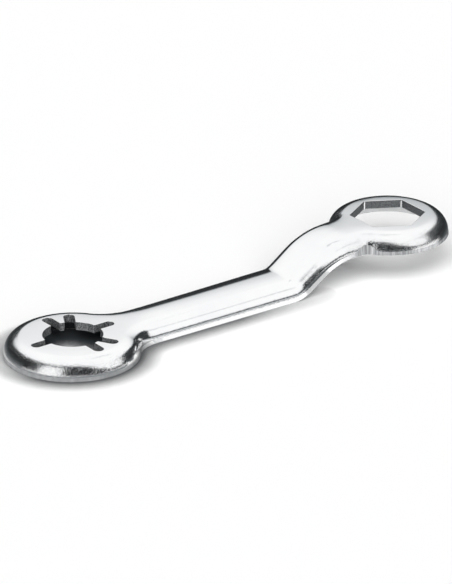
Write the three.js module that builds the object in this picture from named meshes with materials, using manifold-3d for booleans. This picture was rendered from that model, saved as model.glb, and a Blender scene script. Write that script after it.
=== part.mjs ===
// Flywheel wrench: a chromed sheet-steel pressing with two ring heads.
// One head has a round bore with six slots, the other stands higher on a cranked neck and has a hexagon.
// The edge of the sheet is drawn down all round into a rim, so the tool is hollow underneath.
// Millimetres, +Z up, +X from the slotted head to the hexagon head.
// The origin lies on the resting plane, under the middle of the whole length.

import * as THREE from "three";
import { mergeVertices } from "three/addons/utils/BufferGeometryUtils.js";
import Module from "manifold-3d";

const { degToRad } = THREE.MathUtils;

// Sheet and drawn edge
const SHEET_THICKNESS = 4;
const EDGE_RADIUS = 8.1; // round on the outside, from the top face into the rim
const LEAST_INNER_RADIUS = 0.3; // the round inside the edge is never sharper than this
const EDGE_SWEEP = degToRad(84); // how far the round turns before the trimmed band starts
const TRIMMED_BAND = 2.05; // height of the band between the round and the lower edge
const BAND_SPLAY = 0.3; // how far the band's lower edge stands out past the round

// Plan of the heads and the shank
const HEAD_SPACING = 175;
const SLOTTED_HEAD_DIAMETER = 61.2;
const HEX_HEAD_DIAMETER = 55.4;
const SLOTTED_HEAD_SHIFT = 0.5; // the head's outline lies this far outwards of the bore's axis
const HEX_HEAD_SHIFT = 0.35; // the same for the hexagon head and the hexagon's axis
const SHANK_WIDTH = 28.2; // half way between the heads
const SHANK_TAPER = degToRad(0.65); // each side opens by this much towards the hexagon head
const SLOTTED_NECK_RADIUS = 15; // hollow fillet between the slotted head and the shank
const HEX_NECK_RADIUS = 6; // hollow fillet between the neck and the hexagon head

// Cranked neck, measured on the middle layer of the sheet
const CRANK_RISE = 13.5;
const CRANK_ANGLE = degToRad(34);
const CRANK_LOWER_RADIUS = 9;
const CRANK_UPPER_RADIUS = 38;
const CRANK_TO_HEX = 29.3; // from the end of the upper bend to the axis of the hexagon

// Sockets
const BORE_DIAMETER = 26.7;
const SLOT_TIP_DIAMETER = 43.4;
const SLOT_WIDTH = 4.8;
const SLOT_ANGLES = [0, 60, 90, 180, 270, 300].map(degToRad); // a three-spoke and a four-spoke set
const HEX_ACROSS_FLATS = 30;
const HEX_CORNER_RADIUS = 0.8; // the punched corners aren't quite sharp

// Fineness of the facets
const HEAD_STEPS = 34;
const NECK_STEPS = 6;
const CRANK_STEPS = 26;
const EDGE_STEPS = 8;
const INNER_EDGE_STEPS = 5;
const BORE_STEPS = 36;
const SLOT_END_STEPS = 6;
const HEX_CORNER_STEPS = 3;

// The zones of the pressing meet this far into the straight sides, clear of the fillets
const SEAM_SETBACK = 1;

// Finish
const CHROME = { color: 0xe4e6e8, metalness: 1, roughness: 0.08 };

// Sizes that follow from the ones above
const slottedRadius = SLOTTED_HEAD_DIAMETER / 2;
const hexRadius = HEX_HEAD_DIAMETER / 2;
const rimDepth = EDGE_RADIUS * (1 - Math.cos(EDGE_SWEEP)) + TRIMMED_BAND;
const sheetMiddle = rimDepth - SHEET_THICKNESS / 2;
const bendRadii = CRANK_LOWER_RADIUS + CRANK_UPPER_RADIUS;
const bendAngle = Math.min(CRANK_ANGLE, Math.acos(1 - CRANK_RISE / bendRadii)); // a low crank bends less
const inclineLength = (CRANK_RISE - bendRadii * (1 - Math.cos(bendAngle))) / Math.sin(bendAngle);
const crankRun = bendRadii * Math.sin(bendAngle) + inclineLength * Math.cos(bendAngle);
const crankLength = bendRadii * bendAngle + inclineLength;
const crankEnd = HEAD_SPACING - CRANK_TO_HEX;
const crankStart = crankEnd - crankRun;
const blankSpacing = HEAD_SPACING + crankLength - crankRun; // between the two axes before the neck is cranked
const blankCrankEnd = crankStart + crankLength;
const slottedCentre = -SLOTTED_HEAD_SHIFT; // middle of the slotted head's outline, along the blank
const hexCentre = blankSpacing + HEX_HEAD_SHIFT;
const farEnd = HEAD_SPACING + HEX_HEAD_SHIFT + hexRadius;
const middleOfLength = (farEnd + slottedCentre - slottedRadius) / 2;

const wasm = await Module();
wasm.setup();

function toSolid(geometry) {
  const bare = geometry.clone();
  bare.deleteAttribute("normal");
  bare.deleteAttribute("uv");
  const merged = mergeVertices(bare);
  const vertProperties = merged.getAttribute("position").array;
  const triVerts = new Uint32Array(merged.getIndex().array);
  return new wasm.Manifold(new wasm.Mesh({ numProp: 3, vertProperties, triVerts }));
}

function toGeometry(solid) {
  const { vertProperties, triVerts } = solid.getMesh();
  const geometry = new THREE.BufferGeometry();
  geometry.setAttribute("position", new THREE.BufferAttribute(vertProperties, 3));
  geometry.setIndex(new THREE.BufferAttribute(triVerts, 1));
  geometry.computeVertexNormals();
  return geometry;
}

// Points of an arc from one angle to another, both ends included.
function arcPoints(centreX, centreY, radius, from, to, steps) {
  return Array.from({ length: steps + 1 }, (_, i) => {
    const angle = from + ((to - from) * i) / steps;
    return new THREE.Vector2(centreX + radius * Math.cos(angle), centreY + radius * Math.sin(angle));
  });
}

// Half the shank's width at a place along the flat blank.
function sideOfShank(along) {
  return SHANK_WIDTH / 2 + (along - blankSpacing / 2) * Math.tan(SHANK_TAPER);
}

// The hollow fillet that touches a head and the side of the shank, seen from the head's axis with the shank
// ahead: its centre, how far along it touches the shank, and the direction in which it touches the head.
function neckFillet(headRadius, filletRadius, sideAtAxis, taper) {
  const slope = Math.tan(taper);
  const lift = sideAtAxis + filletRadius / Math.cos(taper);
  const spread = 1 + slope ** 2;
  const x = (Math.sqrt((headRadius + filletRadius) ** 2 * spread - lift ** 2) - slope * lift) / spread;
  const y = lift + slope * x;
  return { x, y, end: x + filletRadius * Math.sin(taper), angle: Math.atan2(y, x) };
}

const slottedSide = sideOfShank(slottedCentre);
const hexSide = sideOfShank(hexCentre);
const slottedNeck = neckFillet(slottedRadius, SLOTTED_NECK_RADIUS, slottedSide, SHANK_TAPER);
const hexNeck = neckFillet(hexRadius, HEX_NECK_RADIUS, hexSide, -SHANK_TAPER);
const shankStart = slottedCentre + slottedNeck.end + SEAM_SETBACK;
const hexNeckStart = hexCentre - hexNeck.end - SEAM_SETBACK;

// Left half of the flat blank's outline, drawn in by an inset, from the slotted end to the hexagon end.
function halfOutline(inset) {
  const towardsSide = 1.5 * Math.PI + SHANK_TAPER; // from a fillet's centre to the side of the shank
  const towardsSlotted = Math.PI + slottedNeck.angle;
  const towardsHex = 2 * Math.PI - hexNeck.angle;
  const slottedFillet = SLOTTED_NECK_RADIUS + inset;
  const hexFillet = HEX_NECK_RADIUS + inset;
  const slottedFilletX = slottedCentre + slottedNeck.x;
  const hexFilletX = hexCentre - hexNeck.x;
  const slottedInset = slottedRadius - inset;
  const hexInset = hexRadius - inset;
  const lastStation = Math.min(blankCrankEnd, hexNeckStart);
  const stations = [shankStart];
  for (let i = 0; i <= CRANK_STEPS; i += 1) {
    stations.push(crankStart + ((lastStation - crankStart) * i) / CRANK_STEPS);
  }
  const side = (along) => new THREE.Vector2(along, sideOfShank(along) - inset / Math.cos(SHANK_TAPER));
  return [
    ...arcPoints(slottedCentre, 0, slottedInset, Math.PI, slottedNeck.angle, HEAD_STEPS).slice(0, -1),
    ...arcPoints(slottedFilletX, slottedNeck.y, slottedFillet, towardsSlotted, towardsSide, NECK_STEPS),
    ...stations.map(side),
    ...arcPoints(hexFilletX, hexNeck.y, hexFillet, towardsSide, towardsHex, NECK_STEPS),
    ...arcPoints(hexCentre, 0, hexInset, Math.PI - hexNeck.angle, 0, HEAD_STEPS).slice(1),
  ];
}

// Middle layer of the sheet after cranking: place and slope at a length along the blank.
function middleLayer(along) {
  const lowerEnd = CRANK_LOWER_RADIUS * bendAngle;
  const upperStart = lowerEnd + inclineLength;
  const past = along - crankStart;
  if (past <= 0) return { x: along, z: sheetMiddle, slope: 0 };
  if (past >= crankLength) return { x: crankEnd + past - crankLength, z: sheetMiddle + CRANK_RISE, slope: 0 };
  if (past >= upperStart) {
    const slope = (crankLength - past) / CRANK_UPPER_RADIUS;
    return {
      x: crankEnd - CRANK_UPPER_RADIUS * Math.sin(slope),
      z: sheetMiddle + CRANK_RISE - CRANK_UPPER_RADIUS * (1 - Math.cos(slope)),
      slope,
    };
  }
  const slope = Math.min(past, lowerEnd) / CRANK_LOWER_RADIUS;
  const climbed = Math.max(past - lowerEnd, 0);
  return {
    x: crankStart + CRANK_LOWER_RADIUS * Math.sin(slope) + climbed * Math.cos(bendAngle),
    z: sheetMiddle + CRANK_LOWER_RADIUS * (1 - Math.cos(slope)) + climbed * Math.sin(bendAngle),
    slope,
  };
}

// Where a point of the flat pressing goes when the neck is cranked.
function cranked(along, across, height) {
  const middle = middleLayer(along);
  const offset = height - sheetMiddle;
  return [middle.x - offset * Math.sin(middle.slope), across, middle.z + offset * Math.cos(middle.slope)];
}

// Insets and heights on a round that turns from a level face down into an upright wall.
function edgeRound(radius, faceHeight, wallInset, steps) {
  const centreInset = wallInset + radius * Math.sin(EDGE_SWEEP);
  return Array.from({ length: steps + 1 }, (_, i) => {
    const turn = (EDGE_SWEEP * i) / steps;
    return [centreInset - radius * Math.sin(turn), faceHeight - radius * (1 - Math.cos(turn))];
  });
}

// Section of the drawn edge as inset and height, from the top face round the rim to the underside.
function edgeSection() {
  const innerRadius = Math.max(EDGE_RADIUS - SHEET_THICKNESS, LEAST_INNER_RADIUS);
  const underside = rimDepth - SHEET_THICKNESS;
  const rimWidth = SHEET_THICKNESS * Math.sin(EDGE_SWEEP);
  const outer = edgeRound(EDGE_RADIUS, rimDepth, BAND_SPLAY, EDGE_STEPS);
  const inner = edgeRound(innerRadius, underside, BAND_SPLAY + rimWidth, INNER_EDGE_STEPS).reverse();
  return [...outer, [0, 0], [rimWidth, 0], ...inner];
}

// The pressing without its sockets: the edge section carried round the outline and closed by both faces.
function pressedShell() {
  const positions = [];
  const index = [];
  const loops = edgeSection().map(([inset, height]) => {
    const left = halfOutline(inset);
    const right = left.slice(1, -1).reverse();
    const first = positions.length / 3;
    for (const p of left) positions.push(...cranked(p.x, p.y, height));
    for (const p of right) positions.push(...cranked(p.x, -p.y, height));
    return { first, half: left.length, count: left.length + right.length };
  });
  const { half, count } = loops[0];
  const quad = (a, b, c, d) => index.push(a, b, c, a, c, d);
  for (let k = 0; k + 1 < loops.length; k += 1) {
    for (let i = 0; i < count; i += 1) {
      const next = (i + 1) % count;
      quad(loops[k].first + i, loops[k].first + next, loops[k + 1].first + next, loops[k + 1].first + i);
    }
  }
  const mirror = (i) => (count - i) % count;
  const cap = (first, place) => {
    for (let i = 0; i + 1 < half; i += 1) {
      const corners = [i, mirror(i), mirror(i + 1), i + 1];
      const ring = corners.filter((c, j) => c !== corners[(j + 1) % corners.length]).map((c) => first + c);
      for (let j = 1; j + 1 < ring.length; j += 1) place(ring[0], ring[j], ring[j + 1]);
    }
  };
  cap(loops[0].first, (a, b, c) => index.push(a, b, c));
  cap(loops.at(-1).first, (a, b, c) => index.push(a, c, b));
  const geometry = new THREE.BufferGeometry();
  geometry.setAttribute("position", new THREE.Float32BufferAttribute(positions, 3));
  geometry.setIndex(index);
  return toSolid(geometry);
}

// A cutter with the given plan that passes right through a head, whose rim stands at the given height.
function socketCutter(shape, centreX, rimHeight, curveSegments, turn = 0) {
  const depth = 2 * rimDepth;
  const geometry = new THREE.ExtrudeGeometry(shape, { depth, bevelEnabled: false, curveSegments });
  geometry.rotateZ(turn);
  geometry.translate(centreX, 0, rimHeight);
  return toSolid(geometry);
}

// Round bore with slots that run out from it and end in half circles.
function slottedSocket() {
  const bore = new THREE.Shape().absarc(0, 0, BORE_DIAMETER / 2, 0, 2 * Math.PI);
  const halfWidth = SLOT_WIDTH / 2;
  const endCentre = SLOT_TIP_DIAMETER / 2 - halfWidth;
  const slot = new THREE.Shape()
    .moveTo(0, -halfWidth)
    .lineTo(endCentre, -halfWidth)
    .absarc(endCentre, 0, halfWidth, -Math.PI / 2, Math.PI / 2)
    .lineTo(0, halfWidth);
  return SLOT_ANGLES.reduce(
    (socket, angle) => socket.add(socketCutter(slot, 0, 0, SLOT_END_STEPS, angle)),
    socketCutter(bore, 0, 0, BORE_STEPS),
  );
}

// Hexagon with two flats square to the handle.
function hexSocket() {
  const halfCorner = Math.PI / 6; // the turn from a flat to the middle of a corner
  const reach = (HEX_ACROSS_FLATS / 2 - HEX_CORNER_RADIUS) / Math.cos(halfCorner);
  const outline = [1, 3, 5, 7, 9, 11].flatMap((halves) => {
    const turn = halves * halfCorner;
    const [x, y] = [reach * Math.cos(turn), reach * Math.sin(turn)];
    return arcPoints(x, y, HEX_CORNER_RADIUS, turn - halfCorner, turn + halfCorner, HEX_CORNER_STEPS);
  });
  return socketCutter(new THREE.Shape(outline), HEAD_SPACING, CRANK_RISE, 1);
}

// A block that takes the stretch of the pressing between two places along it.
function stretch(from, to) {
  const reach = 2 * (slottedRadius + hexRadius + CRANK_RISE + rimDepth);
  const block = new THREE.BoxGeometry(to - from, reach, reach);
  block.translate((from + to) / 2, 0, 0);
  return toSolid(block);
}

const pressing = pressedShell().subtract(slottedSocket()).subtract(hexSocket());

function zone(name, from, to) {
  const geometry = toGeometry(pressing.intersect(stretch(from, to)));
  const mesh = new THREE.Mesh(geometry, new THREE.MeshStandardMaterial(CHROME));
  mesh.name = name;
  return mesh;
}

const overrun = SHEET_THICKNESS; // the two outer blocks reach this far past the ends
const tool = new THREE.Group();
tool.position.x = -middleOfLength;
tool.add(
  zone("slotted_head", slottedCentre - slottedRadius - overrun, shankStart),
  zone("shank", shankStart, crankStart),
  zone("crank", crankStart, crankEnd),
  zone("hex_head", crankEnd, farEnd + overrun),
);

const wrench = new THREE.Group();
wrench.name = "flywheel_wrench";
wrench.add(tool);

export default wrench;
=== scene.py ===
import math

import bpy
import numpy as np
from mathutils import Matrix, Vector
from mathutils.geometry import delaunay_2d_cdt, tessellate_polygon


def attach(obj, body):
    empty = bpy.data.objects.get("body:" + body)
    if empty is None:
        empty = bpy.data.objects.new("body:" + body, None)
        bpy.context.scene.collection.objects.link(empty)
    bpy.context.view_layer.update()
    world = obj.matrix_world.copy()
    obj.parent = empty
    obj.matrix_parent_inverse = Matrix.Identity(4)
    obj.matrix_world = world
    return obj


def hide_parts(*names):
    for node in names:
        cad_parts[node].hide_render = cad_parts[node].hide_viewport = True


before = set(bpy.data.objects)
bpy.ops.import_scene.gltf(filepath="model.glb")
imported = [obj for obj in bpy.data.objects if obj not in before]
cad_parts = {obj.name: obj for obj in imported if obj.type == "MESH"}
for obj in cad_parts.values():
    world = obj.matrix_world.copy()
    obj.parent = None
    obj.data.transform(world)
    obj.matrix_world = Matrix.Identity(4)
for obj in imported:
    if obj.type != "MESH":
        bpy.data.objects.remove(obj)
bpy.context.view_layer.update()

MM = 0.001

# Sheet and drawn edge, in millimetres
SHEET = 4.0
EDGE_RADIUS = 8.1
EDGE_SWEEP = math.radians(84)
BAND = 2.05
BAND_SPLAY = 0.3
RIM_BEVEL = 0.3
RIM_SUPPORT = 0.2

# Plan of the heads and the shank
HEAD_SPACING = 175.0
SLOTTED_RADIUS = 30.6
HEX_RADIUS = 27.7
SLOTTED_SHIFT = 0.5
HEX_SHIFT = 0.35
SHANK_WIDTH = 28.2
SHANK_TAPER = math.radians(0.65)
SLOTTED_NECK_RADIUS = 15.0
HEX_NECK_RADIUS = 6.0
SEAM_SETBACK = 1.0

# Cranked neck
CRANK_RISE = 13.5
CRANK_ANGLE = math.radians(34)
CRANK_LOWER_RADIUS = 9.0
CRANK_UPPER_RADIUS = 38.0
CRANK_TO_HEX = 29.3

# Sockets
BORE_RADIUS = 13.35
SLOT_TIP_RADIUS = 21.7
SLOT_HALF_WIDTH = 2.4
SLOT_ANGLES = [0, 60, 90, 180, 270, 300]
HEX_HALF_FLATS = 15.0
HEX_CORNER_RADIUS = 0.8
SOCKET_BEVEL = 0.16
SOCKET_SUPPORT = 0.09

# Crown of the top face: slope at its edge, reach inwards, and share of it by place along the blank
CROWN_SLOPE = math.radians(7)
CROWN_REACH = 6.0
CROWN_SHARES = [(22, 0.22), (46, 0.95), (72, 1.1), (98, 1.0), (112, 1.1), (142, 1.0), (162, 0.45)]

# The trimmed band leans more along the shank, and is deeper in the necks of the hexagon head
SHANK_SPLAY = 0.45
SPLAY_SHARES = [(28, 0), (44, 1), (146, 1), (156, 0)]
NECK_TRIM = math.radians(20)
NECK_TRIM_REACH = 6.5

# Fineness of the mesh
HEAD_STEPS = 110
NECK_STEPS = 22
SHANK_STEPS = 36
CRANK_STEPS = 64
EDGE_STEPS = 26
INNER_EDGE_STEPS = 14
RIM_BEVEL_STEPS = 3
ACROSS_STEPS = 16
FACE_GRID = 1.7
FACE_TOLERANCE = 1e-7
SLOT_SIDE_STEPS = 6
SLOT_END_STEPS = 18
SHORT_ARC = 0.6
SHORT_ARC_STEPS = 4
LONG_ARC_STEPS = 20
HEX_CORNER_STEPS = 8
HEX_SIDE_STEPS = 12
SOCKET_BEVEL_STEPS = 3
SOCKET_WALL_STEPS = 6

# Sizes that follow from the ones above
RIM_DEPTH = EDGE_RADIUS * (1 - math.cos(EDGE_SWEEP)) + BAND
UNDERSIDE = RIM_DEPTH - SHEET
SHEET_MIDDLE = RIM_DEPTH - SHEET / 2
BEND_RADII = CRANK_LOWER_RADIUS + CRANK_UPPER_RADIUS
INCLINE = (CRANK_RISE - BEND_RADII * (1 - math.cos(CRANK_ANGLE))) / math.sin(CRANK_ANGLE)
CRANK_RUN = BEND_RADII * math.sin(CRANK_ANGLE) + INCLINE * math.cos(CRANK_ANGLE)
CRANK_LENGTH = BEND_RADII * CRANK_ANGLE + INCLINE
CRANK_END = HEAD_SPACING - CRANK_TO_HEX
CRANK_START = CRANK_END - CRANK_RUN
BLANK_SPACING = HEAD_SPACING + CRANK_LENGTH - CRANK_RUN
BLANK_CRANK_END = CRANK_START + CRANK_LENGTH
SLOTTED_CENTRE = -SLOTTED_SHIFT
HEX_CENTRE = BLANK_SPACING + HEX_SHIFT
MIDDLE_OF_LENGTH = (HEAD_SPACING + HEX_SHIFT + HEX_RADIUS + SLOTTED_CENTRE - SLOTTED_RADIUS) / 2

# Finishes, in the order of the material slots
FLAT, DRAWN, TRIMMED, PUNCHED, INSIDE = range(5)

# Zones of the pressing, by the names of the nodes they replace
ZONES = ["slotted_head", "shank", "crank", "hex_head"]
SLOTTED_ZONE, SHANK_ZONE, CRANK_ZONE, HEX_ZONE = range(4)


def smooth(value, start, end):
    t = min(max((value - start) / (end - start), 0.0), 1.0)
    return t * t * (3 - 2 * t)


# Outline of the flat blank

def arc_points(x, y, radius, start, end, steps):
    angles = np.linspace(start, end, steps + 1)
    return [(x + radius * math.cos(a), y + radius * math.sin(a)) for a in angles]


def side_of_shank(along):
    return SHANK_WIDTH / 2 + (along - BLANK_SPACING / 2) * math.tan(SHANK_TAPER)


def neck_fillet(head_radius, fillet, side_at_axis, taper):
    """Centre of a neck's round, place where it meets the shank's side, and direction of the head's end."""
    slope = math.tan(taper)
    lift = side_at_axis + fillet / math.cos(taper)
    spread = 1 + slope ** 2
    x = (math.sqrt((head_radius + fillet) ** 2 * spread - lift ** 2) - slope * lift) / spread
    y = lift + slope * x
    return x, y, x + fillet * math.sin(taper), math.atan2(y, x)


SLOTTED_NECK = neck_fillet(SLOTTED_RADIUS, SLOTTED_NECK_RADIUS, side_of_shank(SLOTTED_CENTRE), SHANK_TAPER)
HEX_NECK = neck_fillet(HEX_RADIUS, HEX_NECK_RADIUS, side_of_shank(HEX_CENTRE), -SHANK_TAPER)
SHANK_START = SLOTTED_CENTRE + SLOTTED_NECK[2] + SEAM_SETBACK

# Places in the half outline where the zones meet
FIRST_ROW = HEAD_STEPS + NECK_STEPS + 1
CRANK_ROW = FIRST_ROW + SHANK_STEPS
LAST_ROW = CRANK_ROW + CRANK_STEPS


def half_outline(inset):
    """One side of the outline, from the end of the slotted head to the end of the hexagon head."""
    to_side = 1.5 * math.pi + SHANK_TAPER
    to_slotted = math.pi + SLOTTED_NECK[3]
    to_hex = 2 * math.pi - HEX_NECK[3]
    stations = list(np.linspace(SHANK_START, CRANK_START, SHANK_STEPS + 1))
    stations += list(np.linspace(CRANK_START, BLANK_CRANK_END, CRANK_STEPS + 1))[1:]
    sides = [(s, side_of_shank(s) - inset / math.cos(SHANK_TAPER)) for s in stations]
    slotted = arc_points(SLOTTED_CENTRE, 0, SLOTTED_RADIUS - inset, math.pi, SLOTTED_NECK[3], HEAD_STEPS)
    slotted_neck = arc_points(SLOTTED_CENTRE + SLOTTED_NECK[0], SLOTTED_NECK[1], SLOTTED_NECK_RADIUS + inset,
                              to_slotted, to_side, NECK_STEPS)
    hex_neck = arc_points(HEX_CENTRE - HEX_NECK[0], HEX_NECK[1], HEX_NECK_RADIUS + inset,
                          to_side, to_hex, NECK_STEPS)
    hex_head = arc_points(HEX_CENTRE, 0, HEX_RADIUS - inset, math.pi - HEX_NECK[3], 0, HEAD_STEPS)
    return slotted[:-1] + slotted_neck + sides + hex_neck + hex_head[1:]


def closed_outline(inset):
    left = half_outline(inset)
    return np.array(left + [(x, -y) for x, y in left[-2:0:-1]])


# Cranking of the neck

def middle_layer(along):
    """Place, height and slope of the middle of the sheet, at a place along the blank."""
    lower_end = CRANK_LOWER_RADIUS * CRANK_ANGLE
    upper_start = lower_end + INCLINE
    past = along - CRANK_START
    if past <= 0:
        return along, SHEET_MIDDLE, 0.0
    if past >= CRANK_LENGTH:
        return CRANK_END + past - CRANK_LENGTH, SHEET_MIDDLE + CRANK_RISE, 0.0
    if past >= upper_start:
        slope = (CRANK_LENGTH - past) / CRANK_UPPER_RADIUS
        drop = CRANK_UPPER_RADIUS * (1 - math.cos(slope))
        return CRANK_END - CRANK_UPPER_RADIUS * math.sin(slope), SHEET_MIDDLE + CRANK_RISE - drop, slope
    slope = min(past, lower_end) / CRANK_LOWER_RADIUS
    climbed = max(past - lower_end, 0)
    x = CRANK_START + CRANK_LOWER_RADIUS * math.sin(slope) + climbed * math.cos(CRANK_ANGLE)
    z = SHEET_MIDDLE + CRANK_LOWER_RADIUS * (1 - math.cos(slope)) + climbed * math.sin(CRANK_ANGLE)
    return x, z, slope


def cranked(along, across, height):
    """Where a point of the flat blank lies in the cranked wrench, in metres."""
    x, z, slope = middle_layer(along)
    offset = height - SHEET_MIDDLE
    x -= offset * math.sin(slope) + MIDDLE_OF_LENGTH
    return x * MM, across * MM, (z + offset * math.cos(slope)) * MM


# Crown of the top face

def share_at(along, shares):
    """A share that changes smoothly between the given places along the blank."""
    share = shares[0][1]
    for (start, low), (end, high) in zip(shares, shares[1:]):
        share += (high - low) * smooth(along, start, end)
    return share


def crown_slope(along):
    """Slope at the edge of the crowned face, at a place along the blank."""
    return share_at(along, CROWN_SHARES) * CROWN_SLOPE


def distance_to(points, polygon):
    """Distance of each point from a closed polygon's sides."""
    start = polygon[None]
    side = (np.roll(polygon, -1, axis=0) - polygon)[None]
    reach = points[:, None] - start
    part = np.clip((reach * side).sum(axis=2) / np.maximum((side ** 2).sum(axis=2), 1e-12), 0, 1)
    return np.linalg.norm(reach - part[..., None] * side, axis=2).min(axis=1)


def crown_drop(points, edge):
    """How far the crowned face lies below its highest level at places in the plan."""
    points = np.asarray(points, float).reshape(-1, 2)
    rest = np.clip(1 - distance_to(points, edge) / CROWN_REACH, 0, 1)
    slopes = np.array([math.tan(crown_slope(x)) for x in points[:, 0]])
    return slopes * CROWN_REACH / 2 * rest ** 2


# Section of the drawn edge

def edge_round(radius, face_height, wall_inset, steps, start=0.0, end=EDGE_SWEEP):
    """Inset and height of points round the drawn edge, from the face down."""
    centre = wall_inset + radius * math.sin(EDGE_SWEEP)
    turns = np.linspace(start, end, steps + 1)
    return [(centre - radius * math.sin(t), face_height - radius * (1 - math.cos(t))) for t in turns]


def corner_round(x, z, back, on, size):
    """A small round at a corner, between the directions back and on along the section."""
    points = []
    for t in np.linspace(0, math.pi / 2, RIM_BEVEL_STEPS + 1):
        behind = size * (1 - math.sin(t))
        ahead = size * (1 - math.cos(t))
        points.append((x + back[0] * behind + on[0] * ahead, z + back[1] * behind + on[1] * ahead))
    return points


def along_line(x, z, towards, length):
    return x + towards[0] * length, z + towards[1] * length


def unit(x, z):
    return x / math.hypot(x, z), z / math.hypot(x, z)


def edge_section(start, splay=BAND_SPLAY, trim=0.0):
    """Inset and height of every corner of the section: start is the slope at the edge of the top face, splay
    the lean of the trimmed band, and trim the part of the round that the band takes."""
    rim_width = SHEET * math.sin(EDGE_SWEEP)
    sunk = math.tan(start) * CROWN_REACH / 2 - EDGE_RADIUS * (1 - math.cos(start))
    outer = edge_round(EDGE_RADIUS, RIM_DEPTH - sunk, splay, EDGE_STEPS, start, EDGE_SWEEP - trim)
    inner = edge_round(EDGE_RADIUS - SHEET, UNDERSIDE, BAND_SPLAY + rim_width, INNER_EDGE_STEPS)[::-1]
    band = unit(*outer[-1])
    inner_band = unit(BAND_SPLAY, inner[0][1])
    support = RIM_BEVEL + RIM_SUPPORT
    low = [along_line(0, 0, band, support)] + corner_round(0, 0, band, (1, 0), RIM_BEVEL)
    low += corner_round(rim_width, 0, (-1, 0), inner_band, RIM_BEVEL)
    low.append(along_line(rim_width, 0, inner_band, support))
    return outer + low + inner


# Strips of the section that lie on the trimmed edge, between the rounds of its two corners
TRIMMED_STRIPS = 2 * RIM_BEVEL_STEPS + 3
SECTION_FINISHES = [DRAWN] * EDGE_STEPS + [TRIMMED] * TRIMMED_STRIPS + [INSIDE] * (INNER_EDGE_STEPS + 2)


# Skin of the pressing

class Skin:
    """Corners in metres and faces with their finish, zone and flow coordinates in millimetres."""

    def __init__(self):
        self.points = []
        self.plan = []
        self.faces = []
        self.creases = set()

    def point(self, along, across, height):
        self.points.append(cranked(along, across, height))
        self.plan.append((along, across))
        return len(self.points) - 1

    def face(self, corners, flow, finish, zone):
        self.faces.append((corners, flow, finish, zone))


def lengths_along(points):
    closed = np.array(list(points) + list(points[:1]))
    return np.concatenate([[0], np.cumsum(np.linalg.norm(np.diff(closed, axis=0), axis=1))])


def zone_of(row):
    if row < FIRST_ROW:
        return SLOTTED_ZONE
    if row < CRANK_ROW:
        return SHANK_ZONE
    return CRANK_ZONE if row < LAST_ROW else HEX_ZONE


def loft(skin, loops, flow_u, flow_v, finishes, zones, bright=()):
    """Strips between loops; the columns named bright keep the plate's polish on the punched wall."""
    count = len(loops[0])
    for k in range(len(loops) - 1):
        for i in range(count):
            j = (i + 1) % count
            corners = (loops[k][i], loops[k][j], loops[k + 1][j], loops[k + 1][i])
            u0, u1 = flow_u[i], flow_u[i + 1]
            v0, v1 = flow_v[k], flow_v[k + 1]
            flow = ((u0, v0), (u1, v0), (u1, v1), (u0, v1))
            polished = finishes[k] == PUNCHED and i in bright
            skin.face(corners, flow, FLAT if polished else finishes[k], zones[i])


def neck_trims(outline):
    """How far the trimmed band climbs the round at each place of the outline."""
    lengths = lengths_along(outline)
    middle = LAST_ROW + NECK_STEPS // 2
    trims = []
    for length in lengths[:-1]:
        apart = min(abs(length - lengths[middle]), abs(length - lengths[len(outline) - middle]))
        trims.append(NECK_TRIM * (1 - smooth(apart, 0, NECK_TRIM_REACH)))
    return trims


def drawn_edge(skin):
    """The section of the drawn edge, led round the whole outline; gives its loops of corners."""
    outline = closed_outline(0)
    inward = closed_outline(1) - outline
    half = (len(outline) + 2) // 2
    rows = [i if i < half - 1 else len(outline) - i - 1 for i in range(len(outline))]
    trims = neck_trims(outline)
    sections = []
    for (x, _), trim in zip(outline, trims):
        splay = BAND_SPLAY + SHANK_SPLAY * share_at(x, SPLAY_SHARES)
        sections.append(edge_section(crown_slope(x), splay, trim))
    loops = []
    for k in range(len(sections[0])):
        places = [outline[i] + sections[i][k][0] * inward[i] for i in range(len(outline))]
        loops.append([skin.point(x, y, s[k][1]) for (x, y), s in zip(places, sections)])
    flow_v = lengths_along(edge_section(0))
    loft(skin, loops, lengths_along(outline), flow_v, SECTION_FINISHES, [zone_of(r) for r in rows])
    crease = loops[EDGE_STEPS]
    for i, corner in enumerate(crease):
        skin.creases.add(frozenset((corner, crease[(i + 1) % len(crease)])))
    return loops


# Sockets

def slotted_socket(grow):
    """Plan of the bore with its slots, grown by a width."""
    radius = BORE_RADIUS + grow
    width = SLOT_HALF_WIDTH + grow
    mouth = math.sqrt(radius ** 2 - width ** 2)
    opening = math.asin(width / radius)
    end = SLOT_TIP_RADIUS - SLOT_HALF_WIDTH
    points = []
    for number, degrees in enumerate(SLOT_ANGLES):
        axis = math.radians(degrees)
        following = math.radians((SLOT_ANGLES + [360])[number + 1])
        slot = [(mouth + (end - mouth) * t, -width) for t in np.linspace(0, 1, SLOT_SIDE_STEPS + 1)[:-1]]
        slot += arc_points(end, 0, width, -math.pi / 2, math.pi / 2, SLOT_END_STEPS)
        slot += [(mouth + (end - mouth) * t, width) for t in np.linspace(1, 0, SLOT_SIDE_STEPS + 1)[1:]]
        for x, y in slot:
            points.append((x * math.cos(axis) - y * math.sin(axis),
                           x * math.sin(axis) + y * math.cos(axis)))
        steps = SHORT_ARC_STEPS if following - axis < SHORT_ARC else LONG_ARC_STEPS
        points += arc_points(0, 0, radius, axis + opening, following - opening, steps)[1:-1]
    return points


def between(start, end, steps):
    return [tuple(np.array(start) + (np.array(end) - np.array(start)) * i / steps) for i in range(1, steps)]


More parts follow.
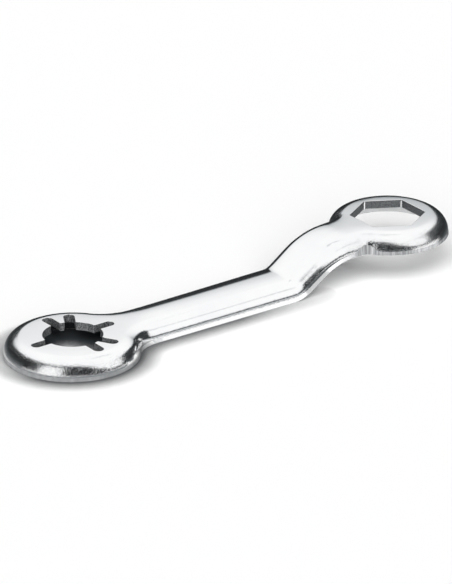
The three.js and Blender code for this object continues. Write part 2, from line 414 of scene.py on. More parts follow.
def hex_socket(grow):
    """Plan of the hexagon, grown by a width."""
    reach = (HEX_HALF_FLATS - HEX_CORNER_RADIUS) / math.cos(math.pi / 6)
    points = []
    for number in range(6):
        turn = math.radians(30 + 60 * number)
        corner = arc_points(reach * math.cos(turn), reach * math.sin(turn), HEX_CORNER_RADIUS + grow,
                            turn - math.pi / 6, turn + math.pi / 6, HEX_CORNER_STEPS)
        if points:
            points += between(points[-1], corner[0], HEX_SIDE_STEPS)
        points += corner
    points += between(points[-1], points[0], HEX_SIDE_STEPS)
    return [(x + BLANK_SPACING, y) for x, y in points]


def hex_corners():
    """Columns of the hexagon's wall that lie in its six corners."""
    period = HEX_CORNER_STEPS + HEX_SIDE_STEPS
    return {number * period + i for number in range(6) for i in range(HEX_CORNER_STEPS)}


def socket_wall(skin, plan, zone, edge, bright=()):
    """The punched wall of a socket, with its softened edges; gives the loops in the two faces."""
    turns = np.linspace(0, math.pi / 2, SOCKET_BEVEL_STEPS + 1)
    top = [(SOCKET_BEVEL + SOCKET_SUPPORT, RIM_DEPTH)] + [
        (SOCKET_BEVEL * (1 - math.sin(t)), RIM_DEPTH - SOCKET_BEVEL * (1 - math.cos(t))) for t in turns]
    low = [(0, UNDERSIDE + SOCKET_BEVEL + SOCKET_SUPPORT)] + [
        (SOCKET_BEVEL * (1 - math.cos(t)), UNDERSIDE + SOCKET_BEVEL * (1 - math.sin(t))) for t in turns]
    low.append((SOCKET_BEVEL + SOCKET_SUPPORT, UNDERSIDE))
    heights = np.linspace(RIM_DEPTH - SOCKET_BEVEL, low[0][1], SOCKET_WALL_STEPS + 1)
    wall = [(0, z) for z in heights[1:-1]]
    profile = top + wall + low
    finishes = [FLAT] * (len(top) - 1) + [PUNCHED] * (len(wall) + 1) + [INSIDE] * len(low)
    loops = []
    for k, (grow, z) in enumerate(profile):
        places = plan(grow)
        drops = crown_drop(places, edge) if k < len(top) else np.zeros(len(places))
        loops.append([skin.point(x, y, z - drop) for (x, y), drop in zip(places, drops)])
    depth = [RIM_DEPTH - z for _, z in profile]
    zones = [zone] * len(loops[0])
    loft(skin, loops, lengths_along(plan(0)), depth, finishes, zones, bright)
    return loops[0], loops[-1]


# Flat faces

def inside(points, polygon):
    """Which points lie inside a closed polygon."""
    x, y = points[:, 0], points[:, 1]
    result = np.zeros(len(points), bool)
    a = polygon
    b = np.roll(polygon, -1, axis=0)
    for (ax, ay), (bx, by) in zip(a, b):
        crosses = (ay > y) != (by > y)
        if ay != by:
            result ^= crosses & (x < (bx - ax) * (y - ay) / (by - ay) + ax)
    return result


def fill_face(skin, boundary, hole, level, finish, zone, upward):
    """Triangles between the edge of a face and its socket."""
    ids = list(boundary) + list(hole)
    plan = np.array([skin.plan[i] for i in ids])
    outer = plan[:len(boundary)]
    inner = plan[len(boundary):]
    low, high = outer.min(axis=0), outer.max(axis=0)
    grid = np.array([(x, y) for x in np.arange(low[0], high[0], FACE_GRID)
                     for y in np.arange(low[1], high[1], FACE_GRID)])
    apart = np.min(np.linalg.norm(grid[:, None] - plan[None], axis=2), axis=1)
    grid = grid[inside(grid, outer) & ~inside(grid, inner) & (apart > FACE_GRID / 2)]
    ids += [skin.point(x, y, z) for (x, y), z in zip(grid, level(grid))]
    plan = np.concatenate([plan, grid])
    rings = [(0, len(boundary)), (len(boundary), len(hole))]
    edges = [(first + i, first + (i + 1) % size) for first, size in rings for i in range(size)]
    filled = delaunay_2d_cdt([Vector(p) for p in plan], edges, [], 0, FACE_TOLERANCE)
    found = [sources[0] if sources else None for sources in filled[3]]
    triangles = [[found[i] for i in triangle] for triangle in filled[2]]
    middles = np.array([plan[t].mean(axis=0) for t in triangles])
    kept = inside(middles, outer) & ~inside(middles, inner)
    for triangle, keep in zip(triangles, kept):
        if not keep:
            continue
        (ax, ay), (bx, by), (cx, cy) = plan[triangle]
        turned = (bx - ax) * (cy - ay) - (by - ay) * (cx - ax) > 0
        order = triangle if turned == upward else triangle[::-1]
        skin.face(tuple(ids[i] for i in order), tuple(map(tuple, plan[order])), finish, zone)


def cross_rows(skin, loop, level):
    """Rows of corners across the shank and the crank, from one side of a face to the other."""
    rows = {}
    for row in range(FIRST_ROW, LAST_ROW + 1):
        left, right = loop[row], loop[len(loop) - row]
        along, side = skin.plan[left]
        places = np.array([(along, side * (1 - 2 * i / ACROSS_STEPS)) for i in range(1, ACROSS_STEPS)])
        middle = [skin.point(x, y, z) for (x, y), z in zip(places, level(places))]
        rows[row] = [left] + middle + [right]
    return rows


def flat_faces(skin, loop, slotted_hole, hex_hole, level, finish, upward):
    """One face of the sheet: both heads round their sockets, and the rows between them."""
    rows = cross_rows(skin, loop, level)
    count = len(loop)
    slotted = loop[:FIRST_ROW] + rows[FIRST_ROW] + [loop[count - i] for i in range(FIRST_ROW - 1, 0, -1)]
    hexed = loop[LAST_ROW + 1:count - LAST_ROW] + rows[LAST_ROW][::-1]
    fill_face(skin, slotted, slotted_hole, level, finish, SLOTTED_ZONE, upward)
    fill_face(skin, hexed, hex_hole, level, finish, HEX_ZONE, upward)
    for row in range(FIRST_ROW, LAST_ROW):
        for i in range(ACROSS_STEPS):
            corners = [rows[row][i], rows[row][i + 1], rows[row + 1][i + 1], rows[row + 1][i]]
            corners = corners if upward else corners[::-1]
            skin.face(tuple(corners), tuple(skin.plan[c] for c in corners), finish, zone_of(row))
    return rows


# From the skin to one closed piece for each zone

def section_caps(skin, loops, top_rows, low_rows, row):
    """Triangles that close the cut through the sheet at one row, facing +X."""
    count = len(loops[0])
    ring = [loop[row] for loop in loops]
    ring += low_rows[row][1:-1]
    ring += [loop[count - row] for loop in reversed(loops)]
    ring += top_rows[row][1:-1][::-1]
    flat = [Vector((skin.points[i][1], skin.points[i][2], 0)) for i in ring]
    caps = []
    for a, b, c in tessellate_polygon([flat]):
        turned = (flat[b] - flat[a]).cross(flat[c] - flat[a]).z > 0
        corners = (ring[a], ring[b], ring[c]) if turned else (ring[a], ring[c], ring[b])
        caps.append(corners)
    return caps


def build_mesh(name, points, faces, creases, materials):
    mesh = bpy.data.meshes.new(name)
    mesh.from_pydata(points, [], [f[0] for f in faces])
    for material in materials:
        mesh.materials.append(material)
    mesh.polygons.foreach_set("material_index", [f[2] for f in faces])
    mesh.polygons.foreach_set("use_smooth", [True] * len(faces))
    layer = mesh.uv_layers.new(name="flow")
    layer.data.foreach_set("uv", [value for f in faces for pair in f[1] for value in pair])
    for edge in mesh.edges:
        if frozenset(edge.vertices) in creases:
            edge.use_edge_sharp = True
    mesh.update()
    return mesh


def zone_piece(skin, zone, normals, caps, materials):
    """One zone as a closed mesh that keeps the shading of the whole skin."""
    faces = []
    shading = []
    start = 0
    for face in skin.faces:
        size = len(face[0])
        if face[3] == zone:
            faces.append(face)
            shading.append(normals[start:start + size])
        start += size
    for corners, facing in caps:
        flow = tuple((skin.points[c][1] / MM, skin.points[c][2] / MM) for c in corners)
        faces.append((corners, flow, INSIDE, zone))
        shading.append(np.array([(facing, 0, 0)] * 3))
    used = sorted({c for f in faces for c in f[0]})
    place = {c: i for i, c in enumerate(used)}
    moved = [(tuple(place[c] for c in f[0]),) + f[1:] for f in faces]
    creases = {frozenset(place[c] for c in e) for e in skin.creases if all(c in place for c in e)}
    mesh = build_mesh(ZONES[zone] + "_skin", [skin.points[c] for c in used], moved, creases, materials)
    mesh.normals_split_custom_set(np.concatenate(shading).tolist())
    piece = bpy.data.objects.new(ZONES[zone] + "_skin", mesh)
    bpy.context.scene.collection.objects.link(piece)
    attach(piece, "root")
    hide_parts(ZONES[zone])


def make_wrench(materials):
    """The whole skin, shaded as one, and then cut into a piece for each zone."""
    skin = Skin()
    loops = drawn_edge(skin)
    edge = np.array([skin.plan[i] for i in loops[0]])

    def top(places):
        return RIM_DEPTH - crown_drop(places, edge)

    def underside(places):
        return np.full(len(places), UNDERSIDE)

    slotted_top, slotted_low = socket_wall(skin, slotted_socket, SLOTTED_ZONE, edge)
    hex_top, hex_low = socket_wall(skin, hex_socket, HEX_ZONE, edge, hex_corners())
    top_rows = flat_faces(skin, loops[0], slotted_top, hex_top, top, FLAT, True)
    low_rows = flat_faces(skin, loops[-1], slotted_low, hex_low, underside, INSIDE, False)
    whole = build_mesh("whole_skin", skin.points, skin.faces, skin.creases, materials)
    normals = np.empty(3 * len(whole.loops), np.float32)
    whole.corner_normals.foreach_get("vector", normals)
    normals = normals.reshape(-1, 3)
    bpy.data.meshes.remove(whole)
    ends = [None, FIRST_ROW, CRANK_ROW, LAST_ROW, None]
    cuts = {row: section_caps(skin, loops, top_rows, low_rows, row) for row in ends[1:-1]}
    for zone, (low, high) in enumerate(zip(ends, ends[1:])):
        caps = [(corners[::-1], -1) for corners in cuts.get(low, [])]
        caps += [(corners, 1) for corners in cuts.get(high, [])]
        zone_piece(skin, zone, normals, caps, materials)


# Materials

# Places in metres along X where the drawn edge's grain, the trimmed band's cut and the socket walls change
GRAIN_ENDS = (-0.086, -0.073, 0.050, 0.062)
CUT_ENDS = (-0.066, -0.056, 0.050, 0.062)
WALL_ENDS = (-0.02, 0.02)

# Plate: tones, roughness, and the scales and heights in metres of its unevenness
PLATE_TONES = [(0.90, 0.905, 0.915), (0.94, 0.942, 0.945)]
PLATE_CLOUD_SCALE = 60
PLATE_ROUGHNESS = (0.035, 0.085)
PLATE_GRAIN_SCALE = 900
RIPPLE_SCALE = 75
RIPPLE_HEIGHT = 1.5e-5
PEEL_SCALE = 1700
PEEL_HEIGHT = 6e-5
PIT_SCALE = 2200
PIT_HEIGHT = 3.8e-5
PIT_RANGE = (0.54, 0.74)
# Share of the peel on the flat faces and on the drawn edge, and the millimetres over which it sets in
FLAT_PEEL = 0.05
SHANK_PEEL = 0.3
HEAD_PEEL = 1.0
PEEL_RISE = 6.0

# Trimmed edge: marks and waves by their counts per millimetre along and across it
TRIM_METALLIC = 0.6
TRIM_MARKS = (1.3, 0.06)
TRIM_WAVES = (0.35, 0.1)
STRIPED_TONES = [(0.2, 0.212, 0.22), (0.84, 0.848, 0.855)]
# Tones round the slotted head, darker partly as painted shade of the shadowed floor that the band reflects
DULL_SHADED_TONES = [(0.36, 0.372, 0.38), (0.54, 0.55, 0.556)]
POLISHED_TONES = [(0.87, 0.875, 0.88), (0.93, 0.932, 0.935)]
TRIM_ROUGHNESS = (0.07, 0.2)
TRIM_DEPTHS = (0.1, 1.0)
MARK_HEIGHT = 6e-5
WAVE_HEIGHT = 8e-5

# Punched walls: streaks and tears by their counts per millimetre along and down the wall
WALL_METALLIC = 0.78
WALL_STREAKS = (2.2, 0.25)
WALL_TEARS = (1.5, 1.1)
TEAR_RANGE = (0.38, 0.64)
BORE_TONES = [(0.1, 0.107, 0.112), (0.56, 0.575, 0.585)]
HEXAGON_TONES = [(0.07, 0.075, 0.08), (0.24, 0.25, 0.258)]
WALL_ROUGHNESS = (0.28, 0.48)
TEAR_DEPTHS = (1.0, 0.5)
TEAR_HEIGHT = 1.1e-4
STREAK_HEIGHT = 5e-5

# Inside of the sheet
INSIDE_TONES = [(0.72, 0.73, 0.74), (0.84, 0.845, 0.85)]
INSIDE_CLOUD_SCALE = 90
INSIDE_ROUGHNESS = (0.16, 0.28)
INSIDE_GRAIN_SCALE = 1200
INSIDE_GRAIN_HEIGHT = 1.2e-5

# Colour sockets of a mix node
MIX_FIRST = 6
MIX_SECOND = 7
MIX_RESULT = 2


def feed(tree, made, inputs):
    """Sets the inputs of a node, or links those that are given as sockets."""
    for key, value in inputs.items():
        if isinstance(value, bpy.types.NodeSocket):
            tree.links.new(value, made.inputs[key])
        else:
            made.inputs[key].default_value = value


def node(tree, kind, inputs=None, **settings):
    made = tree.nodes.new(kind)
    for key, value in settings.items():
        setattr(made, key, value)
    feed(tree, made, inputs or {})
    return made


def start_material(name):
    material = bpy.data.materials.new(name)
    material.use_nodes = True
    tree = material.node_tree
    shader = next(n for n in tree.nodes if n.type == "BSDF_PRINCIPLED")
    return material, tree, shader


def start_empty_material(name):
    material = bpy.data.materials.new(name)
    material.use_nodes = True
    material.node_tree.nodes.clear()
    return material, material.node_tree


def noise(tree, vector, scale=1.0, detail=2.0, roughness=0.5):
    made = node(tree, "ShaderNodeTexNoise", {"Vector": vector, "Scale": scale, "Detail": detail,
                                             "Roughness": roughness})
    return made.outputs[0]


def ramp(tree, factor, low, high, start=0.3, end=0.7):
    """A value that goes from low to high; without a start and end, over the usual range of a noise."""
    made = node(tree, "ShaderNodeMapRange", {"Value": factor, "From Min": start, "From Max": end,
                                             "To Min": low, "To Max": high})
    return made.outputs["Result"]


def blend(tree, factor, first, second):
    made = node(tree, "ShaderNodeMix", {0: factor, MIX_FIRST: first, MIX_SECOND: second}, data_type="RGBA")
    return made.outputs[MIX_RESULT]


def tint(tree, factor, tones):
    dark, light = tones
    return blend(tree, factor, (*dark, 1), (*light, 1))


def combine(tree, operation, first, second):
    return node(tree, "ShaderNodeMath", {0: first, 1: second}, operation=operation).outputs[0]


def bump(tree, height, distance, normal=None, strength=1.0):
    made = node(tree, "ShaderNodeBump", {"Height": height, "Distance": distance, "Strength": strength})
    if normal is not None:
        feed(tree, made, {"Normal": normal})
    return made.outputs["Normal"]


def flow_vector(tree, across, down):
    """Flow coordinates of the skin, stretched by a count per millimetre in both directions."""
    uv = node(tree, "ShaderNodeUVMap", uv_map="flow").outputs["UV"]
    made = node(tree, "ShaderNodeMapping", {"Vector": uv, "Scale": (across, down, 1)})
    return made.outputs["Vector"]


def object_vector(tree):
    return node(tree, "ShaderNodeTexCoord").outputs["Object"]


def along_wrench(tree):
    return node(tree, "ShaderNodeSeparateXYZ", {0: object_vector(tree)}).outputs["X"]


def zone_share(tree, ends):
    """1 on the two heads and 0 on the shank and the crank: ends are the places along X where it changes."""
    along = along_wrench(tree)
    slotted = ramp(tree, along, 1, 0, *ends[:2])
    hexagon = ramp(tree, along, 0, 1, *ends[2:])
    return combine(tree, "MAXIMUM", slotted, hexagon)


def chrome(name, drawn):
    """Polished plate; where the sheet was drawn round the edge it has a fine orange-peel texture."""
    material, tree, shader = start_material(name)
    place = object_vector(tree)
    cloud = ramp(tree, noise(tree, place, PLATE_CLOUD_SCALE, detail=3), 0, 1)
    grain = noise(tree, place, PLATE_GRAIN_SCALE, detail=4, roughness=0.6)
    strength = FLAT_PEEL
    if drawn:
        down = node(tree, "ShaderNodeSeparateXYZ", {0: flow_vector(tree, 1, 1)}).outputs["Y"]
        depth = ramp(tree, zone_share(tree, GRAIN_ENDS), SHANK_PEEL, HEAD_PEEL, 0, 1)
        strength = ramp(tree, down, FLAT_PEEL, depth, 0, PEEL_RISE)
    ripple = bump(tree, noise(tree, place, RIPPLE_SCALE, detail=1), RIPPLE_HEIGHT)
    peel = bump(tree, noise(tree, place, PEEL_SCALE), PEEL_HEIGHT, ripple, strength)
    pits = ramp(tree, noise(tree, place, PIT_SCALE), 0, 1, *PIT_RANGE)
    feed(tree, shader, {
        "Metallic": 1.0,
        "Base Color": tint(tree, cloud, PLATE_TONES),
        "Roughness": ramp(tree, grain, *PLATE_ROUGHNESS),
        "Normal": bump(tree, pits, PIT_HEIGHT, peel, strength),
    })
    return material


def trimmed_edge():
    """Cut edge of the sheet: striped round the hexagon head, duller round the slotted head with partly
    painted shade, else polished.
    """
    material, tree, shader = start_material("trimmed_edge")
    hexagon = ramp(tree, along_wrench(tree), 0, 1, *CUT_ENDS[2:])
    heads = zone_share(tree, CUT_ENDS)
    marks = noise(tree, flow_vector(tree, *TRIM_MARKS), detail=3, roughness=0.6)
    waves = noise(tree, flow_vector(tree, *TRIM_WAVES))
    striped = tint(tree, ramp(tree, marks, 0, 1), STRIPED_TONES)
    # Round the slotted head the darker tone is partly painted shade, of the shadowed floor that this band
    # reflects
    dull_shaded = tint(tree, ramp(tree, waves, 0, 1), DULL_SHADED_TONES)
    polished = tint(tree, ramp(tree, marks, 0, 1), POLISHED_TONES)
    depth = ramp(tree, heads, *TRIM_DEPTHS, 0, 1)
    uneven = bump(tree, waves, WAVE_HEIGHT, None, depth)
    feed(tree, shader, {
        "Metallic": TRIM_METALLIC,
        "Base Color": blend(tree, heads, polished, blend(tree, hexagon, dull_shaded, striped)),
        "Roughness": ramp(tree, heads, *TRIM_ROUGHNESS, 0, 1),
        "Normal": bump(tree, marks, MARK_HEIGHT, uneven, depth),
    })
    return material


def punched_wall():
    """Sheared wall of a socket: torn in the slotted head, finer and darker in the hexagon."""
    material, tree, shader = start_material("punched_wall")
    hexagon = ramp(tree, along_wrench(tree), 0, 1, *WALL_ENDS)
    streaks = noise(tree, flow_vector(tree, *WALL_STREAKS), detail=3, roughness=0.6)
    tears = noise(tree, flow_vector(tree, *WALL_TEARS), detail=4, roughness=0.65)
    bore_tone = tint(tree, ramp(tree, tears, 0, 1, *TEAR_RANGE), BORE_TONES)
    hexagon_tone = tint(tree, ramp(tree, tears, 0, 1), HEXAGON_TONES)
    torn = bump(tree, tears, TEAR_HEIGHT, None, ramp(tree, hexagon, *TEAR_DEPTHS, 0, 1))
    feed(tree, shader, {
        "Metallic": WALL_METALLIC,
        "Base Color": blend(tree, hexagon, bore_tone, hexagon_tone),
        "Roughness": ramp(tree, streaks, *WALL_ROUGHNESS),
        "Normal": bump(tree, streaks, STREAK_HEIGHT, torn),
    })
    return material


def inside_face():
    """Plainer plate on the inside of the sheet."""
    material, tree, shader = start_material("inside_face")
    place = object_vector(tree)
    cloud = noise(tree, place, INSIDE_CLOUD_SCALE, detail=4, roughness=0.6)
    grain = noise(tree, place, INSIDE_GRAIN_SCALE, detail=3, roughness=0.6)
    feed(tree, shader, {
        "Metallic": 1.0,
        "Base Color": tint(tree, ramp(tree, cloud, 0, 1), INSIDE_TONES),
        "Roughness": ramp(tree, cloud, *INSIDE_ROUGHNESS),
        "Normal": bump(tree, grain, INSIDE_GRAIN_HEIGHT),
    })
    return material


# Camera

AZIMUTH = math.radians(-36.54)
ELEVATION = math.radians(23.74)
DISTANCE = 2.6
AIM = Vector((-0.002285, 0, 0.0076))
LENS = 358.7
SENSOR_WIDTH = 36
FARTHEST = 20
AWAY = Vector((-math.sin(AZIMUTH), math.cos(AZIMUTH), 0))
RIGHT = Vector((math.cos(AZIMUTH), math.sin(AZIMUTH), 0))
UP = Vector((0, 0, 1))


def make_camera():
    data = bpy.data.cameras.new("camera")
    data.lens = LENS
    data.sensor_width = SENSOR_WIDTH
    data.clip_end = FARTHEST
    camera = bpy.data.objects.new("camera", data)
    bpy.context.scene.collection.objects.link(camera)
    towards = math.sin(ELEVATION) * UP - math.cos(ELEVATION) * AWAY
    camera.location = AIM + DISTANCE * towards
    camera.rotation_euler = towards.to_track_quat("Z", "Y").to_euler()
    bpy.context.scene.camera = camera


# Studio: floor, white surroundings, a glowing tent with dark sides that only reflections show, its shades
# painted reflections in the metal, and a lamp

# Distance of the tent in metres by direction in degrees: 0 is away from the camera, 90 right
TENT_RADII = [(-180, 0.48), (-110, 0.45), (-45, 0.3), (25, 0.3), (55, 0.6), (85, 0.6), (115, 0.48),
              (180, 0.48)]
# Distance of its top, and the heights in degrees between which the sides bend over to it
TENT_TOP = 0.45
TENT_BEND = (45, 85)
# Lowest height of the tent and the steps of its mesh, in degrees
TENT_FOOT = -2
TENT_STEP_ROUND = 1.5
TENT_STEP_UP = 0.75
TENT_WHITE = 1.04
# By direction: height in degrees of the tent's light part above the floor, softness of its lower edge in
# degrees, and brightness of the dark part below
TENT_EDGE = [(-180, 54), (-170, 56), (-160, 55), (-150, 51), (-140, 47), (-120, 45.5), (-110, 44.5),
             (-100, 42), (-90, 38), (-80, 34.5), (-70, 31), (-63, 28), (-56, 24), (-50, 22.5), (-44, 22),
             (-38, 24.5), (-32, 24), (-26, 22), (-20, 21), (-8, 21), (0, 20.5), (12, 17.5), (22, 14.5),
             (30, 18), (40, 25), (46, 29), (52, 33), (60, 36.5), (70, 39), (78, 38.5), (84, 34), (88, 23),
             (92, 13), (96, 8), (118, 8), (124, 9), (128, 14), (131, 17), (135, 21), (138, 25), (140, 26),
             (143, 26), (146, 28), (149, 31), (152, 37), (156, 46), (165, 52), (180, 54)]
TENT_SOFT = [(-180, 6), (-150, 5), (-120, 3.5), (-90, 3.5), (-60, 2.5), (-30, 1.6), (25, 1.4), (45, 3),
             (80, 3), (95, 3.5), (116, 3.5), (124, 2), (140, 2), (155, 5), (180, 6)]
TENT_DARK = [(-180, 0.03), (-120, 0.03), (-100, 0.014), (-80, 0.016), (-50, 0.04), (-20, 0.05), (0, 0.03),
             (40, 0.035), (70, 0.05), (125, 0.05), (150, 0.028), (180, 0.03)]
# The light part grows brighter upwards at the back, which ends between two directions on either side
TENT_BACK = [(16, 0.5), (18, 0.57), (21, 0.66), (23.5, 0.75), (26, 0.83), (29, 0.9), (33, 0.97), (40, 1.02),
             (46, TENT_WHITE)]
TENT_BACK_END = (75, 105)
# Window in the dark part on the left, towards the camera: its two sides and its top, each from end to end
WINDOW_LEFT = (-161, -155)
WINDOW_RIGHT = (-130, -122)
WINDOW_TOP = (36, 42)
# Seams of the tent: direction and height of points along them
SEAMS = [[(35, 76), (16, 70.5), (32, 66), (42, 64.8)], [(84, 38), (96, 40), (113, 41.5)]]
SEAM_STEPS = 120
SEAM_HALF_WIDTH = 2.6
SEAM_SHADE = 0.72
# How much red and green the darkest tones of the studio lose
COOL_RED = 0.12
COOL_GREEN = 0.045

# Dark strips on the floor near the wrench that only reflections show, painted dark reflections: gaps to its
# outline and heights in millimetres, limits of where they stand, and shades by share of their height
STRIP_MARGIN = 0.3
BACK_GAP = 14.0
BACK_RISE = 2.0
BACK_LIMIT = -0.25
BACK_LEVELS = [(0.0, 0.25), (0.3, 0.12), (0.6, 0.04), (1.0, 0.025)]
LEFT_GAP = 6.0
LEFT_LIMIT = -0.6
LEFT_TURN = (0.3, 0.9)
LEFT_END = 25
LOW_GAP = 6.0
LOW_HEIGHT = 2.2
LOW_LIMIT = -0.2
LOW_END = 14
LOW_LEVELS = [(0.0, 0.2), (1.0, 0.34)]
SIDE_GAP = 15.0
SIDE_HEIGHT = 3.5
SIDE_SPAN = (38, 122)
SIDE_LEVELS = [(0.0, 0.25), (0.25, 0.3), (0.4, 0.6), (1.0, 0.62)]
# Dark patch on the floor before the hexagon head that only reflections show, a painted dark reflection: radii
# and height in millimetres, directions in degrees
PATCH_RADII = (50.0, 400.0)
PATCH_LIFT = 0.2
PATCH_SPAN = (138, 204)
PATCH_STEP = 3
PATCH_SHADE = 0.12

# Floor: half its size in metres, and its tones in the darkest painted shadow and in the open
FLOOR_HALF = 6.0
FLOOR_TONES = [(0.018, 0.022, 0.025), (0.9, 0.9, 0.9)]
OCCLUSION_SAMPLES = 12
# Painted contact shadow in the floor's colour: its reach in metres and its depth, how much light stays in it
# from the shank to the crank, and how much stays at least at the far left, each with the places in metres
# between which it changes
CONTACT_REACH = 0.0105
CONTACT_DEPTH = 9.0
CONTACT_LIGHT = (0.11, 0.66)
CONTACT_FADE = (-0.005, 0.036)
LEFT_LIGHT = (0.5, 0.0)
LEFT_FADE = (-0.100, -0.082)
# Painted shadow in the floor's colour inside the bore: its reach, the light that stays, the range of
# occlusion, and where it ends
BORE_REACH = 0.03
BORE_LIGHT = 0.1
BORE_RANGE = (0.42, 0.95)
BORE_FADE = (0.023, 0.033)

# Lamp, in degrees and watts per square metre, and what the surroundings add on the floor
LAMP_AZIMUTH = 180
LAMP_HEIGHT = 43
LAMP_SPREAD = 82
LAMP_STRENGTH = 4.65
SURROUNDINGS_ON_FLOOR = 0.1


def direction(azimuth, height):
    level = math.cos(math.radians(height))
    a = math.radians(azimuth)
    return AWAY * level * math.cos(a) + RIGHT * level * math.sin(a) + UP * math.sin(math.radians(height))


def seam_line(corners):
    """Unit directions along a seam, one degree or less apart."""
    places = np.array(corners, float)
    steps = np.linspace(0, len(places) - 1, SEAM_STEPS + 1)
    azimuths = np.interp(steps, range(len(places)), places[:, 0])
    heights = np.interp(steps, range(len(places)), places[:, 1])
    return np.array([direction(a, h) for a, h in zip(azimuths, heights)])


def seam(azimuth, height, line):
    nearest = float(np.max(line @ np.array(direction(azimuth, height))))
    angle = math.degrees(math.acos(min(1.0, nearest)))
    return 1 - smooth(angle, SEAM_HALF_WIDTH / 2, SEAM_HALF_WIDTH)


def window(azimuth, height):
    sides = smooth(azimuth, *WINDOW_LEFT) * (1 - smooth(azimuth, *WINDOW_RIGHT))
    return sides * (1 - smooth(height, *WINDOW_TOP))


def tent_shade(azimuth, height, lines):
    """Brightness of the tent in a direction, in degrees."""
    edge = float(np.interp(azimuth, *zip(*TENT_EDGE)))
    soft = float(np.interp(azimuth, *zip(*TENT_SOFT)))
    dark = float(np.interp(azimuth, *zip(*TENT_DARK)))
    back = float(np.interp(height, *zip(*TENT_BACK)))
    white = back + (TENT_WHITE - back) * smooth(abs(azimuth), *TENT_BACK_END)
    white *= 1 - (1 - SEAM_SHADE) * max(seam(azimuth, height, line) for line in lines)
    shade = dark + (white - dark) * smooth(height, edge - soft, edge + soft)
    return max(shade, dark + (TENT_WHITE - dark) * window(azimuth, height))


def tent_point(azimuth, height):
    radius = float(np.interp(azimuth, *zip(*TENT_RADII)))
    radius += (TENT_TOP - radius) * smooth(height, *TENT_BEND)
    return direction(azimuth, height) * radius


def cool(shade):
    """Grey of the studio: white is neutral, and dark tones are slightly cool."""
    depth = 1 - min(shade, 1.0)
    return shade * (1 - COOL_RED * depth), shade * (1 - COOL_GREEN * depth), shade, 1.0


def add_stage(name, points, faces, material, shades=None):
    mesh = bpy.data.meshes.new(name)
    mesh.from_pydata(points, [], faces)
    mesh.materials.append(material)
    if shades is not None:
        layer = mesh.color_attributes.new("shade", "FLOAT_COLOR", "POINT")
        layer.data.foreach_set("color", [value for s in shades for value in cool(s)])
    mesh.update()
    thing = bpy.data.objects.new(name, mesh)
    bpy.context.scene.collection.objects.link(thing)
    return thing


def glowing_material(name):
    material, tree = start_empty_material(name)
    shade = node(tree, "ShaderNodeAttribute", attribute_name="shade").outputs["Color"]
    glow = node(tree, "ShaderNodeEmission", {"Color": shade})
    node(tree, "ShaderNodeOutputMaterial", {"Surface": glow.outputs["Emission"]})
    return material


def add_reflected(name, material_name, points, faces, shades):
    """A glowing thing that only reflections show."""
    thing = add_stage(name, points, faces, glowing_material(material_name), shades)
    thing.visible_camera = False
    thing.visible_diffuse = False
    thing.visible_transmission = False
    thing.visible_volume_scatter = False
    thing.visible_shadow = False


# The tent glows though it is no lamp: its shades are painted light and dark reflections in the metal
def make_tent():
    azimuths = np.arange(-180, 180, TENT_STEP_ROUND)
    heights = np.arange(TENT_FOOT, 90, TENT_STEP_UP)
    lines = [seam_line(corners) for corners in SEAMS]
    points, shades, faces = [], [], []
    for h in heights:
        for a in azimuths:
            points.append(tent_point(a, h))
            shades.append(tent_shade(a, h, lines))
    columns = len(azimuths)
    for row in range(len(heights) - 1):
        low, high = row * columns, (row + 1) * columns
        for i in range(columns):
            j = (i + 1) % columns
            faces.append((low + i, high + i, high + j, low + j))
    top = len(points)
    points.append(tent_point(0, 90))
    shades.append(TENT_WHITE)
    last = (len(heights) - 1) * columns
    faces += [(last + i, top, last + (i + 1) % columns) for i in range(columns)]
    add_reflected("tent", "tent_light", points, faces, shades)


# A dark strip that only reflections show: a painted dark reflection low beside the wrench
def outline_strip(name, gaps, wanted, levels, height=None):
    """A strip standing on the floor at gaps from the outline, kept where wanted, with its shades by share of
    its height; without a height it rises a little above the wrench."""
    outline = closed_outline(0)
    path = outline - gaps[:, None] * (closed_outline(1) - outline)
    clear = distance_to(path, outline) > gaps - STRIP_MARGIN
    kept = wanted[clear]
    points, shades, faces = [], [], []
    for along, across in path[clear]:
        x, y, _ = cranked(along, across, 0)
        top = height * MM if height else cranked(along, across, RIM_DEPTH + BACK_RISE)[2]
        points += [(x, y, top * part) for part, _ in levels]
        shades += [shade for _, shade in levels]
    size = len(levels)
    for i in range(len(kept)):
        j = (i + 1) % len(kept)
        if kept[i] and kept[j]:
            for k in range(size - 1):
                faces.append((i * size + k, j * size + k, j * size + k + 1, i * size + k + 1))
    add_reflected(name, name + "_shade", points, faces, shades)


def make_strips():
    """Dark strips that paint the low reflections dark: behind and on the left, before the slotted head, by
    the shank.
    """
    outline = closed_outline(0)
    outward = outline - closed_outline(1)
    away = outward @ np.array(AWAY.xy)
    right = outward @ np.array(RIGHT.xy)
    along = outline[:, 0]
    leftness = np.array([smooth(-r, *LEFT_TURN) if x < LEFT_END else 0.0 for x, r in zip(along, right)])
    gaps = BACK_GAP + (LEFT_GAP - BACK_GAP) * leftness
    behind = away > np.where(leftness > 0, LEFT_LIMIT, BACK_LIMIT)
    outline_strip("back_strip", gaps, behind, BACK_LEVELS)
    before_head = (along < LOW_END) & (away < LOW_LIMIT)
    outline_strip("low_strip", np.full(len(outline), LOW_GAP), before_head, LOW_LEVELS, LOW_HEIGHT)
    by_shank = (along > SIDE_SPAN[0]) & (along < SIDE_SPAN[1]) & (away < 0)
    outline_strip("side_strip", np.full(len(outline), SIDE_GAP), by_shank, SIDE_LEVELS, SIDE_HEIGHT)


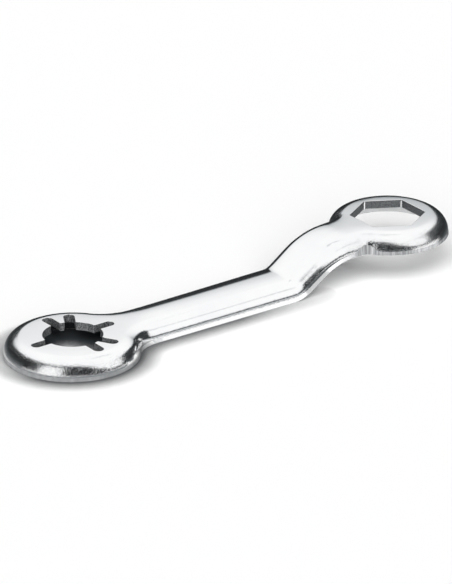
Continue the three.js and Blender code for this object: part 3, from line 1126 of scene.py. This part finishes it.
def make_patch():
    """A dark patch just above the floor that only reflections show: a painted dark reflection that the near
    edge of the hexagon head reflects.
    """
    centre = Vector(((HEAD_SPACING - MIDDLE_OF_LENGTH) * MM, 0, PATCH_LIFT * MM))
    points = []
    for azimuth in range(PATCH_SPAN[0], PATCH_SPAN[1] + 1, PATCH_STEP):
        points += [centre + direction(azimuth, 0) * radius * MM for radius in PATCH_RADII]
    faces = [(i, i + 1, i + 3, i + 2) for i in range(0, len(points) - 2, 2)]
    add_reflected("front_patch", "front_patch_shade", points, faces, [PATCH_SHADE] * len(points))


def occlusion(tree, reach):
    made = node(tree, "ShaderNodeAmbientOcclusion", {"Distance": reach}, samples=OCCLUSION_SAMPLES)
    return made.outputs["AO"]


def vector_value(tree, operation, first, second):
    made = node(tree, "ShaderNodeVectorMath", {0: first, 1: second}, operation=operation)
    return made.outputs["Value"]


def make_floor():
    """White floor, clear from below, whose colour holds a painted contact shadow that fades under the crank
    and at the far left.
    """
    material, tree = start_empty_material("floor_white")
    place = object_vector(tree)
    # The contact shadow here is painted into the floor's colour from occlusion
    contact = combine(tree, "POWER", occlusion(tree, CONTACT_REACH), CONTACT_DEPTH)
    left = ramp(tree, vector_value(tree, "DOT_PRODUCT", place, RIGHT), *LEFT_LIGHT, *LEFT_FADE)
    darkest = ramp(tree, along_wrench(tree), *CONTACT_LIGHT, *CONTACT_FADE)
    lifted = ramp(tree, combine(tree, "MAXIMUM", contact, left), darkest, 1, 0, 1)
    bore_axis = (-MIDDLE_OF_LENGTH * MM, 0, 0)
    # Painted shade in the floor's colour inside the bore
    bore = ramp(tree, occlusion(tree, BORE_REACH), BORE_LIGHT, 1, *BORE_RANGE)
    outside = ramp(tree, vector_value(tree, "DISTANCE", place, bore_axis), 0, 1, *BORE_FADE)
    light = combine(tree, "MULTIPLY", lifted, combine(tree, "MAXIMUM", bore, outside))
    matt = node(tree, "ShaderNodeBsdfDiffuse", {"Color": tint(tree, light, FLOOR_TONES)})
    clear = node(tree, "ShaderNodeBsdfTransparent")
    below = node(tree, "ShaderNodeNewGeometry").outputs["Backfacing"]
    both = node(tree, "ShaderNodeMixShader", {0: below, 1: matt.outputs[0], 2: clear.outputs[0]})
    node(tree, "ShaderNodeOutputMaterial", {"Surface": both.outputs[0]})
    half = FLOOR_HALF
    corners = [(-half, -half, 0), (half, -half, 0), (half, half, 0), (-half, half, 0)]
    add_stage("floor", corners, [(0, 1, 2, 3)], material)


def make_world():
    """White to the camera and in reflections; on the floor it adds only a little to the lamp."""
    world = bpy.data.worlds.new("surroundings")
    bpy.context.scene.world = world
    world.use_nodes = True
    tree = world.node_tree
    tree.nodes.clear()
    path = node(tree, "ShaderNodeLightPath").outputs
    seen = combine(tree, "MAXIMUM", path["Is Camera Ray"], path["Is Glossy Ray"])
    seen = combine(tree, "MAXIMUM", seen, path["Is Transmission Ray"])
    strength = ramp(tree, seen, SURROUNDINGS_ON_FLOOR, 1, 0, 1)
    white = node(tree, "ShaderNodeBackground", {"Color": (1, 1, 1, 1), "Strength": strength})
    node(tree, "ShaderNodeOutputWorld", {"Surface": white.outputs[0]})


def make_lamp():
    """A large, far lamp, so that its light is even and its shadows are soft."""
    data = bpy.data.lights.new("soft_lamp", "SUN")
    data.angle = math.radians(LAMP_SPREAD)
    data.energy = LAMP_STRENGTH
    lamp = bpy.data.objects.new("soft_lamp", data)
    bpy.context.scene.collection.objects.link(lamp)
    lamp.rotation_euler = direction(LAMP_AZIMUTH, LAMP_HEIGHT).to_track_quat("Z", "Y").to_euler()
    lamp.visible_glossy = False
    lamp.visible_camera = False


bpy.context.scene.view_settings.view_transform = "Standard"
make_wrench([chrome("flat_chrome", False), chrome("drawn_chrome", True), trimmed_edge(), punched_wall(),
             inside_face()])
make_camera()
make_tent()
make_strips()
make_patch()
make_floor()
make_world()
make_lamp()
